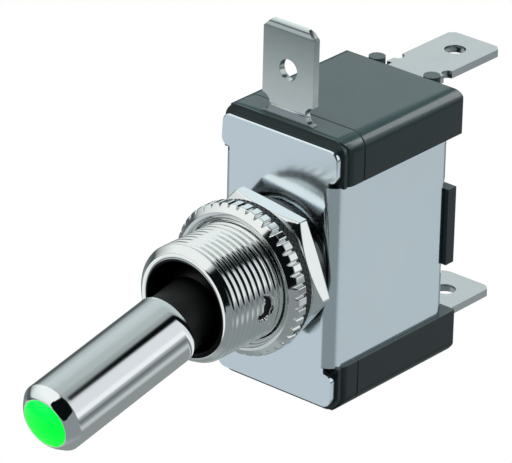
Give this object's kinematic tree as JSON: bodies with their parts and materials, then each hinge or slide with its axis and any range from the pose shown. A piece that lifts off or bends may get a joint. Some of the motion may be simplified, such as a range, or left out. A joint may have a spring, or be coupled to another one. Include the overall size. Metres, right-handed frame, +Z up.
{
  "type": "toggle switch",
  "caption": "Panel toggle switch with a round chromed lever, a lit green lens in its tip, a threaded bushing with nuts and blade terminals on a black case",
  "frame": {"origin": "on the bushing axis, in the front face of the bracket plate", "axes": "+Y runs back into the case, so the lever points to -Y; +Z is up, towards the earth blade; X runs across the switch"},
  "size_m": [0.016, 0.0647, 0.0388],
  "materials": {
    "zinc_plated_steel": "bright zinc plate on smooth sheet",
    "nickel_plated_brass": "bright nickel plate",
    "oxided_steel": "dark oxide",
    "chromed_brass": "polished chrome plate",
    "black_nylon": "satin moulding",
    "green_lens": "clear green lens",
    "tinned_copper": "tinned wire",
    "resistor_coating": "lacquer",
    "wire_enamel": "enamel",
    "spring_steel": "drawn wire",
    "bare_brass": "turned or pressed",
    "spring_bronze": "rolled strip",
    "silver_contact": "satin silver",
    "tinned_brass": "satin tin plate",
    "black_moulding": "satin phenolic moulding"
  },
  "bodies": {
    "housing": {"bracket": "zinc_plated_steel", "bushing": "nickel_plated_brass", "hex_nut": "nickel_plated_brass", "knurled_nut": "nickel_plated_brass", "pivot_pin": "oxided_steel", "fixed_contact": "silver_contact", "rocker_saddle": "bare_brass", "saddle_rivet": "nickel_plated_brass", "terminal_upper": "tinned_brass", "terminal_lower": "tinned_brass", "terminal_earth": "tinned_brass", "case_front": "black_moulding", "case_rear": "black_moulding"},
    "lever": {"lever_core": "black_nylon", "lever_sleeve": "chromed_brass", "lamp": "green_lens", "lamp_live_lead": "tinned_copper", "lamp_earth_lead": "tinned_copper", "resistor": "resistor_coating", "feed_wire": "wire_enamel", "plunger_spring": "spring_steel"},
    "plunger": {"plunger": "bare_brass"},
    "rocker": {"rocker_contact": "spring_bronze", "moving_contact": "silver_contact"}
  },
  "joints": [
    {"name": "lever_toggle", "type": "hinge", "parent": "housing", "child": "lever", "pos_m": [0, -0.0086, 0], "axis": [-1, 0, 0], "range_deg": [0, 23.5]},
    {"name": "rocker_tilt", "type": "hinge", "parent": "housing", "child": "rocker", "pos_m": [0, 0.01125, 0], "axis": [1, 0, 0], "range_deg": [0, 12]},
    {"name": "plunger_slide", "type": "slide", "parent": "lever", "child": "plunger", "axis": [0, -0.979, -0.2036], "range_m": [0, 0.0012], "stiffness_N_per_m": 800, "springref_m": -0.0015, "deforming": ["plunger_spring"]}
  ],
  "couplings": [
    {"joint": "rocker_tilt", "follows": "lever_toggle", "ratio": 0.51064}
  ]
}
